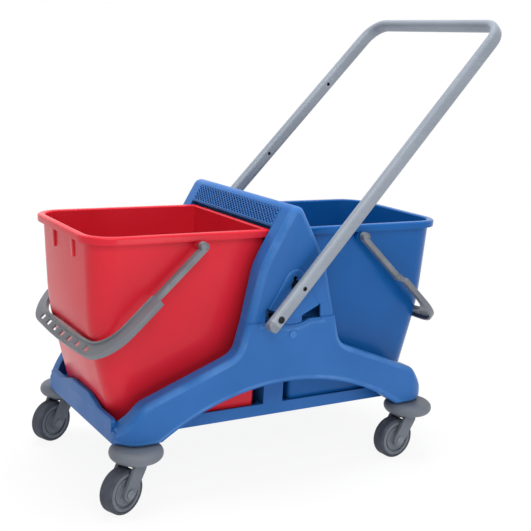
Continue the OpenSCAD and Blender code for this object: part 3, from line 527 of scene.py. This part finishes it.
# roof grates: a diagonal lattice cut from a plate, over a shallow drip tray
grate = {"ridgeX": 0.0095, "ridgeZ": 0.4845, "lean": math.radians(60.3537), "top": 0.0062, "bottom": 0.0406,
         "half": 0.1479, "sink": -0.0008, "thick": 0.0024, "rows": 5, "columns": 29, "bar": 0.0009,
         "slack": 0.0001, "edge": 0.0003, "smooth": 25, "trayTop": 0.0101, "trayBottom": 0.0379,
         "trayDepth": 0.0052, "trayOver": 0.006, "trayRim": 0.002, "trayWall": 0.001}
bpy.ops.object.select_all(action="DESELECT")
bpy.ops.mesh.primitive_grid_add(x_subdivisions=grate["rows"], y_subdivisions=grate["columns"], size=1)
lattice = bpy.context.object
lattice.name = "latticePlate"
bpy.ops.object.mode_set(mode="EDIT")
bpy.ops.mesh.select_mode(type="EDGE")
bpy.ops.mesh.select_all(action="SELECT")
bpy.ops.transform.resize(value=(grate["bottom"] - grate["top"], 2 * grate["half"], 1))
bpy.ops.mesh.poke()
bpy.ops.mesh.select_all(action="DESELECT")
mesh = bmesh.from_edit_mesh(lattice.data)
# only the diagonals and the border stay
for edge in mesh.edges:
    run = edge.verts[0].co - edge.verts[1].co
    if not edge.is_boundary and min(abs(run.x), abs(run.y)) < grate["slack"]:
        edge.select_set(True)
bmesh.update_edit_mesh(lattice.data)
bpy.ops.mesh.dissolve_edges(use_verts=False)
bpy.ops.mesh.select_all(action="DESELECT")
selectFaces(lattice, lambda face: len(face.verts) == 4)
bpy.ops.mesh.inset(thickness=grate["bar"], use_individual=True)
bpy.ops.mesh.delete(type="FACE")
bpy.ops.mesh.select_all(action="SELECT")
bpy.ops.mesh.extrude_region_move(TRANSFORM_OT_translate={"value": (0, 0, -grate["thick"])})
bpy.ops.mesh.select_all(action="SELECT")
bpy.ops.mesh.normals_make_consistent(inside=False)
endEdit()
bevelRest(lattice, grate["edge"], 1)
bpy.ops.object.select_all(action="DESELECT")
trayShift = (grate["trayTop"] + grate["trayBottom"] - grate["top"] - grate["bottom"]) / 2
bpy.ops.mesh.primitive_plane_add(size=1, location=(trayShift, 0, -grate["trayDepth"]))
tray = bpy.context.object
bpy.ops.object.mode_set(mode="EDIT")
bpy.ops.mesh.select_all(action="SELECT")
trayLength = 2 * grate["half"] + grate["trayOver"]
bpy.ops.transform.resize(value=(grate["trayBottom"] - grate["trayTop"], trayLength, 1))
bpy.ops.mesh.inset(thickness=grate["trayRim"])
bpy.ops.mesh.extrude_region_move(TRANSFORM_OT_translate={"value": (0, 0, -grate["thick"])})
endEdit()
wall = tray.modifiers.new("wall", "SOLIDIFY")
wall.thickness = grate["trayWall"]
bpy.ops.object.modifier_apply(modifier="wall")
lattice.select_set(True)
bpy.context.view_layer.objects.active = lattice
bpy.ops.object.join()

lean = grate["lean"]
down = (grate["top"] + grate["bottom"]) / 2
outward = grate["ridgeX"] + down * math.cos(lean) - grate["sink"] * math.sin(lean)
height = grate["ridgeZ"] - down * math.sin(lean) - grate["sink"] * math.cos(lean)
for colour, end in (("red", -1), ("blue", 1)):
    piece = copyOf(lattice, colour + "RoofGrate")
    settle(piece, (middleX + end * outward, 0, height), (0, end * lean, 0))
    finishPiece(piece, colour + "_roof_grate", grate["smooth"])
bpy.data.objects.remove(lattice)
print("grates made")


# wheels: sections drawn point by point and spun about the axle
def spinSection(name, points, steps):
    bpy.ops.object.select_all(action="DESELECT")
    bpy.ops.mesh.primitive_plane_add(size=0.01)
    piece = bpy.context.object
    piece.name = name
    bpy.ops.object.mode_set(mode="EDIT")
    bpy.ops.mesh.select_mode(type="VERT")
    bpy.ops.mesh.select_all(action="SELECT")
    bpy.ops.mesh.merge(type="CENTER")
    bpy.ops.transform.translate(value=(points[0][0], points[0][1], 0))
    for (radius, across), (nextRadius, nextAcross) in zip(points, points[1:]):
        bpy.ops.mesh.extrude_vertices_move(
            TRANSFORM_OT_translate={"value": (nextRadius - radius, nextAcross - across, 0)})
    bpy.ops.mesh.select_all(action="SELECT")
    bpy.ops.mesh.spin(steps=steps, angle=2 * math.pi, center=(0, 0, 0), axis=(0, 1, 0))
    bpy.ops.mesh.select_all(action="SELECT")
    bpy.ops.mesh.remove_doubles(threshold=mergeGap)
    bpy.ops.mesh.normals_make_consistent(inside=False)
    endEdit()
    return piece


def bothFaces(half):
    points = [(r / 1000, a / 1000) for r, a in half] + [(r / 1000, -a / 1000) for r, a in reversed(half)]
    return points + points[:1]


# half sections in mm, as radius and distance from the wheel's middle
wheel = {"steps": 72, "smooth": 30,
         "tyre": [(28.52, 11.4), (28.8, 11.7), (31.7, 11.7), (32.0, 12.0), (32.1, 12.7), (32.4, 13.0),
                  (33.1, 13.0), (34.4, 12.75), (35.7, 12.1), (36.7, 11.0), (37.3, 9.7), (37.5, 8.4),
                  (37.5, 1.0), (37.3, 0.6)],
         "core": [(5.03, 13.9), (5.6, 14.5), (11.2, 14.5), (11.8, 14.1), (12.0, 13.5), (12.3, 11.5),
                  (12.9, 11.0), (16.6, 11.0), (16.9, 10.7), (17.5, 10.7), (17.8, 11.0), (21.9, 11.0),
                  (22.4, 10.7), (22.6, 9.5), (23.0, 9.0), (24.9, 9.0), (25.3, 9.5), (25.5, 11.0),
                  (25.8, 12.3), (26.3, 12.7), (31.2, 12.7), (31.6, 12.4), (31.6, 11.75), (28.5, 11.75),
                  (28.45, 11.1)]}
tyreShape = spinSection("tyreShape", bothFaces(wheel["tyre"]), wheel["steps"])
coreShape = spinSection("coreShape", bothFaces(wheel["core"]), wheel["steps"])
corners = [colour + "_" + side for colour in ("red", "blue") for side in ("near", "far")]
for corner in corners:
    hub = nodeMiddle("tyre_" + corner)
    trail = nodeMiddle("castor_stem_" + corner) - hub
    swivel = math.atan2(trail.y, trail.x)
    words = "".join(w.title() for w in corner.split("_"))
    for shape, node, name in ((tyreShape, "tyre_", "tyre"), (coreShape, "wheel_core_", "wheelCore")):
        piece = copyOf(shape, name + words)
        settle(piece, hub, (0, 0, swivel))
        finishPiece(piece, node + corner, wheel["smooth"])
for shape in (tyreShape, coreShape):
    bpy.data.objects.remove(shape)
print("wheels made:", len(corners))

# everything else keeps its CAD shape, with eased edges and the finish of its slot
easing = {"fork": 0.0012, "tie": 0.0005, "lock": 0.0006, "pivot": 0.0005, "axle": 0.0005}
rest = {"flat": 0.2, "sharp": 40, "segments": 2, "smooth": 28, "capSmooth": 50}
done = ("chassis_base", "tower", "bucket", "bail", "grate", "tyre", "wheel_core")
for nodeName in slotOf:
    if any(word in nodeName for word in done):
        continue
    words = nodeName.split("_")
    piece = copyNode(nodeName, words[0] + "".join(w.title() for w in words[1:]), rest["flat"])
    if words[0] in easing:
        bevelRest(piece, easing[words[0]], rest["segments"], rest["sharp"])
    finishPiece(piece, nodeName, rest["capSmooth"] if "cap" in words else rest["smooth"])


# floor, light and camera

def seenRays(tree):
    path = tree.nodes.new("ShaderNodeLightPath")
    total = path.outputs["Is Camera Ray"]
    for other in ("Is Glossy Ray", "Is Transmission Ray"):
        join = tree.nodes.new("ShaderNodeMath")
        join.operation = "MAXIMUM"
        tree.links.new(total, join.inputs[0])
        tree.links.new(path.outputs[other], join.inputs[1])
        total = join.outputs["Value"]
    return total


stage = {"size": 40.0, "tone": (0.94, 0.94, 0.94, 1.0), "rough": 0.9, "white": 0.9,
         "fadeStart": 0.9, "fadeEnd": 2.2}
bpy.ops.object.select_all(action="DESELECT")
bpy.ops.mesh.primitive_plane_add(size=stage["size"], location=(0, 0, 0))
floor = bpy.context.object
floor.name = "studioFloor"
floorMaterial = bpy.data.materials.new("paleFloor")
floorMaterial.use_nodes = True
tree = floorMaterial.node_tree
shader = tree.nodes["Principled BSDF"]
shader.inputs["Base Color"].default_value = stage["tone"]
shader.inputs["Roughness"].default_value = stage["rough"]
glow = tree.nodes.new("ShaderNodeEmission")
glow.inputs["Strength"].default_value = 1.0
blend = tree.nodes.new("ShaderNodeMixShader")
# white to the eye, whiter with distance, so that the shadow stays near the wheels
reach = tree.nodes.new("ShaderNodeVectorMath")
reach.operation = "LENGTH"
tree.links.new(tree.nodes.new("ShaderNodeTexCoord").outputs["Object"], reach.inputs[0])
fade = addRange(tree, reach.outputs["Value"], stage["white"], 1.0, stage["fadeStart"], stage["fadeEnd"])
share = tree.nodes.new("ShaderNodeMath")
share.operation = "MULTIPLY"
tree.links.new(seenRays(tree), share.inputs[0])
tree.links.new(fade, share.inputs[1])
tree.links.new(share.outputs["Value"], blend.inputs["Fac"])
tree.links.new(shader.outputs["BSDF"], blend.inputs[1])
tree.links.new(glow.outputs["Emission"], blend.inputs[2])
tree.links.new(blend.outputs["Shader"], tree.nodes["Material Output"].inputs["Surface"])
floor.data.materials.append(floorMaterial)

worldLevel = 0.43
world = bpy.data.worlds.new("studio")
bpy.context.scene.world = world
world.use_nodes = True
tree = world.node_tree
lit = tree.nodes["Background"]
lit.inputs["Strength"].default_value = worldLevel
lit.inputs["Color"].default_value = (1, 1, 1, 1)
white = tree.nodes.new("ShaderNodeBackground")
white.inputs["Color"].default_value = (1, 1, 1, 1)
white.inputs["Strength"].default_value = 1.0
blend = tree.nodes.new("ShaderNodeMixShader")
tree.links.new(seenRays(tree), blend.inputs["Fac"])
tree.links.new(lit.outputs["Background"], blend.inputs[1])
tree.links.new(white.outputs["Background"], blend.inputs[2])
tree.links.new(blend.outputs["Shader"], tree.nodes["World Output"].inputs["Surface"])

lamps = {
    "keyLamp": {"place": (-1.1, -2.5, 2.5), "aim": (0, 0, 0.35), "size": 1.8, "power": 32, "glossy": True},
    "lowLamp": {"place": (0.5, -2.6, 0.5), "aim": (0, 0, 0.3), "size": 1.2, "power": 10, "glossy": True},
    "topLamp": {"place": (0.1, 0.3, 2.9), "aim": (0, 0, 0.4), "size": 1.6, "power": 80, "glossy": False},
}
for name, setting in lamps.items():
    bpy.ops.object.light_add(type="AREA", location=setting["place"])
    lamp = bpy.context.object
    lamp.name = name
    lamp.data.shape = "DISK"
    lamp.data.size = setting["size"]
    lamp.data.energy = setting["power"]
    aim = Vector(setting["aim"]) - Vector(setting["place"])
    lamp.rotation_euler = aim.to_track_quat("-Z", "Y").to_euler()
    lamp.visible_glossy = setting["glossy"]
print("lamps placed:", len(lamps))

bpy.context.scene.view_settings.view_transform = "Standard"

shot = {"place": (-0.93218, -1.5644, 0.7315), "right": (0.8593, -0.5092, 0.0493),
        "up": (0.0630, 0.2011, 0.9775), "forward": (0.5076, 0.8368, -0.2049),
        "lens": 67.93, "sensor": 36, "shiftY": -0.0045, "farClip": 100}
cameraData = bpy.data.cameras.new("photoCamera")
camera = bpy.data.objects.new("photoCamera", cameraData)
bpy.context.scene.collection.objects.link(camera)
back = -Vector(shot["forward"])
turn = Matrix((Vector(shot["right"]), Vector(shot["up"]), back)).transposed().to_4x4()
camera.matrix_world = Matrix.Translation(Vector(shot["place"])) @ turn
cameraData.lens = shot["lens"]
cameraData.sensor_width = shot["sensor"]
cameraData.shift_y = shot["shiftY"]
cameraData.clip_end = shot["farClip"]
bpy.context.scene.camera = camera

print("scene ready")
